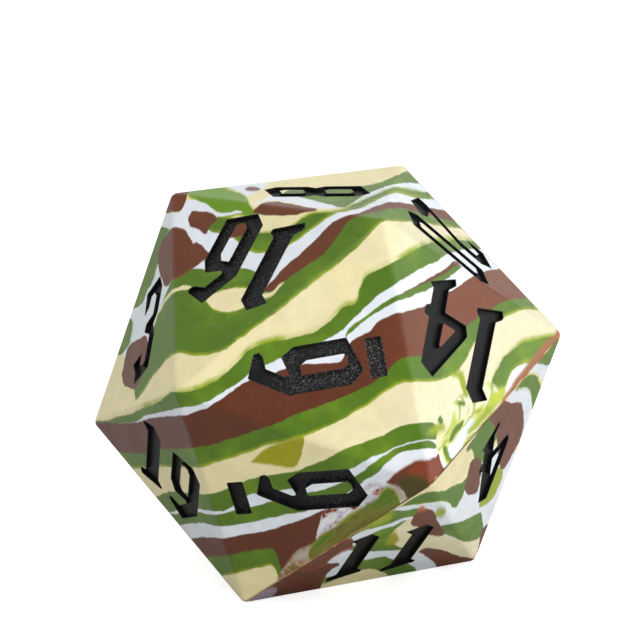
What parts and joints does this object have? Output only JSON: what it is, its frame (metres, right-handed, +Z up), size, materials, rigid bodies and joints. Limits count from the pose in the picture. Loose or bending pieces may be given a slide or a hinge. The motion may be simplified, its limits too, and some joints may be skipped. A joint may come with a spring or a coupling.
{
  "type": "polyhedral die",
  "caption": "Giant twenty-sided rubber die with camouflage marbling, a zigzag parting line and sunk numerals painted black.",
  "frame": {"origin": "centre of the face that the die rests on, the one numbered 13", "axes": "+Z up through the opposite face, numbered 8; +Y towards the corner that faces 13, 5, 15, 7 and 1 share; X = 0 is a symmetry plane of the bare icosahedron"},
  "size_m": [0.0588, 0.0676, 0.055],
  "materials": {
    "silicone_upper": "satin, marbled green, brown, cream and white",
    "silicone_lower": "satin, marbled green, brown, cream and white",
    "parting_film": "satin brown",
    "numeral_paint": "matte, gritty black paint"
  },
  "bodies": {
    "root": {"upper_half": "silicone_upper", "lower_half": "silicone_lower", "parting_film": "parting_film", "numeral_01": "numeral_paint", "numeral_02": "numeral_paint", "numeral_03": "numeral_paint", "numeral_04": "numeral_paint", "numeral_05": "numeral_paint", "numeral_06": "numeral_paint", "numeral_07": "numeral_paint", "numeral_08": "numeral_paint", "numeral_09": "numeral_paint", "numeral_10": "numeral_paint", "numeral_11": "numeral_paint", "numeral_12": "numeral_paint", "numeral_13": "numeral_paint", "numeral_14": "numeral_paint", "numeral_15": "numeral_paint", "numeral_16": "numeral_paint", "numeral_17": "numeral_paint", "numeral_18": "numeral_paint", "numeral_19": "numeral_paint", "numeral_20": "numeral_paint"}
  },
  "joints": []
}
